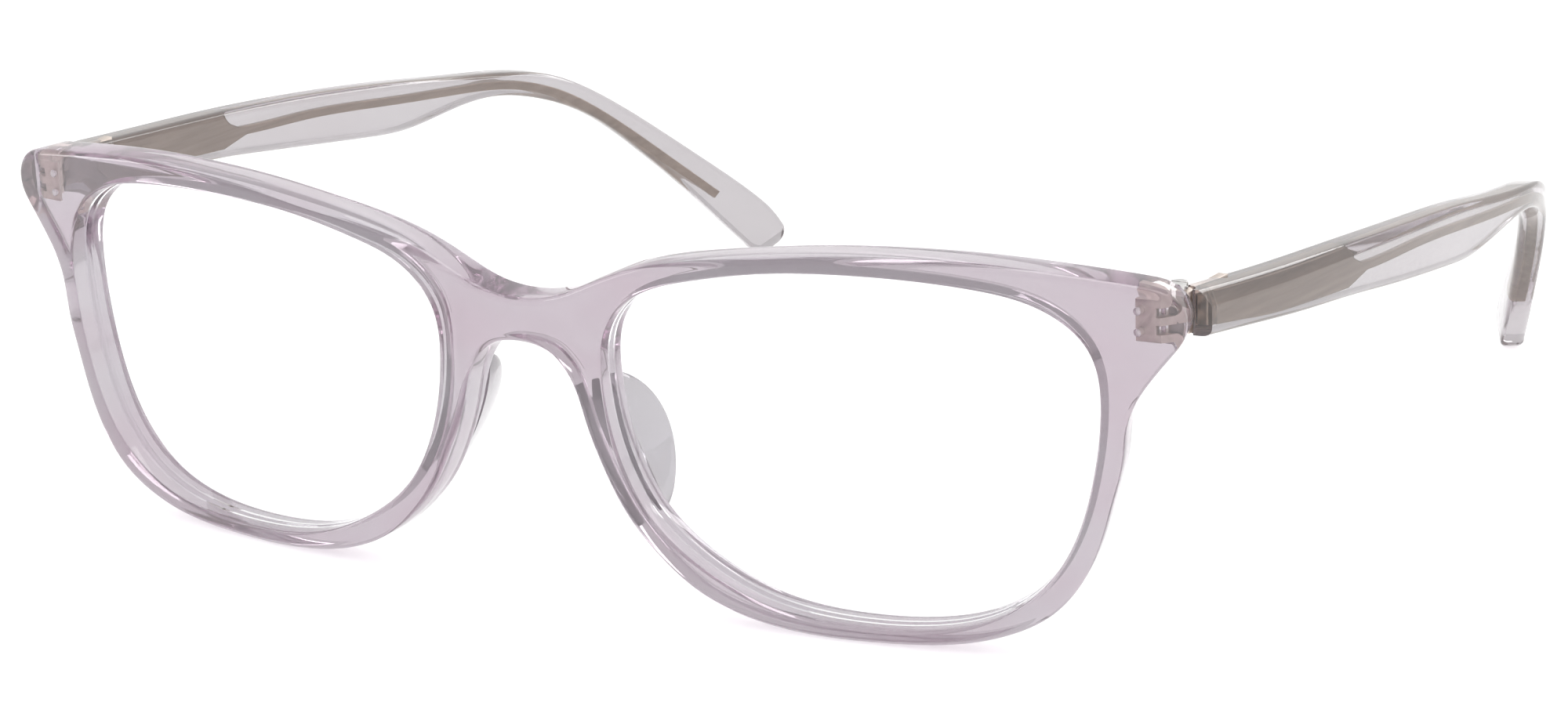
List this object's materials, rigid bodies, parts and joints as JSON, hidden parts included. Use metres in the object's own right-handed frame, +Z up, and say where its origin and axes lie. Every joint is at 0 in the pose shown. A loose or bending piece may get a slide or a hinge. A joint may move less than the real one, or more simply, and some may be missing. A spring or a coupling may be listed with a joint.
{
  "type": "blue light glasses",
  "caption": "Folding spectacles for screen use: a curved clear acetate front with two rounded lenses and glued nose pads, and clear temples with a metal core on five-knuckle hinges.",
  "frame": {"origin": "middle of the footprint box, on the plane that the rims and the temple tips stand on", "axes": "+X to the wearer's left, +Y back from the front to the temple tips, +Z up from the table"},
  "size_m": [0.1438, 0.1446, 0.0407],
  "materials": {
    "front_acetate": "polished, clear with a pale pink-lilac tint",
    "temple_acetate": "polished, almost clear with a faint lilac tint",
    "pad_acetate": "polished, clear",
    "lens_clear": "clear resin with a hard anti-reflection coat",
    "core_titanium": "brushed titanium, warm grey",
    "hinge_metal": "satin nickel silver",
    "rivet_metal": "polished",
    "screw_steel": "polished stainless steel"
  },
  "bodies": {
    "front": {"front_frame": "front_acetate", "lens_left": "lens_clear", "lens_right": "lens_clear", "nose_pad_left": "pad_acetate", "nose_pad_right": "pad_acetate", "front_hinge_left": "hinge_metal", "front_hinge_right": "hinge_metal", "front_studs_left": "rivet_metal", "front_studs_right": "rivet_metal", "hinge_screw_left": "screw_steel", "hinge_screw_right": "screw_steel"},
    "temple_arm_left": {"temple_left": "temple_acetate", "temple_core_left": "core_titanium", "temple_hinge_left": "hinge_metal", "temple_rivets_left": "rivet_metal"},
    "temple_arm_right": {"temple_right": "temple_acetate", "temple_core_right": "core_titanium", "temple_hinge_right": "hinge_metal", "temple_rivets_right": "rivet_metal"}
  },
  "joints": [
    {"name": "left_temple_fold", "type": "hinge", "parent": "front", "child": "temple_arm_left", "pos_m": [0.0668, -0.0581, 0.03566], "axis": [0, -0.0647, 0.9979], "range_deg": [0, 85]},
    {"name": "right_temple_fold", "type": "hinge", "parent": "front", "child": "temple_arm_right", "pos_m": [-0.0668, -0.0581, 0.03566], "axis": [0, 0.0647, -0.9979], "range_deg": [0, 77]}
  ]
}
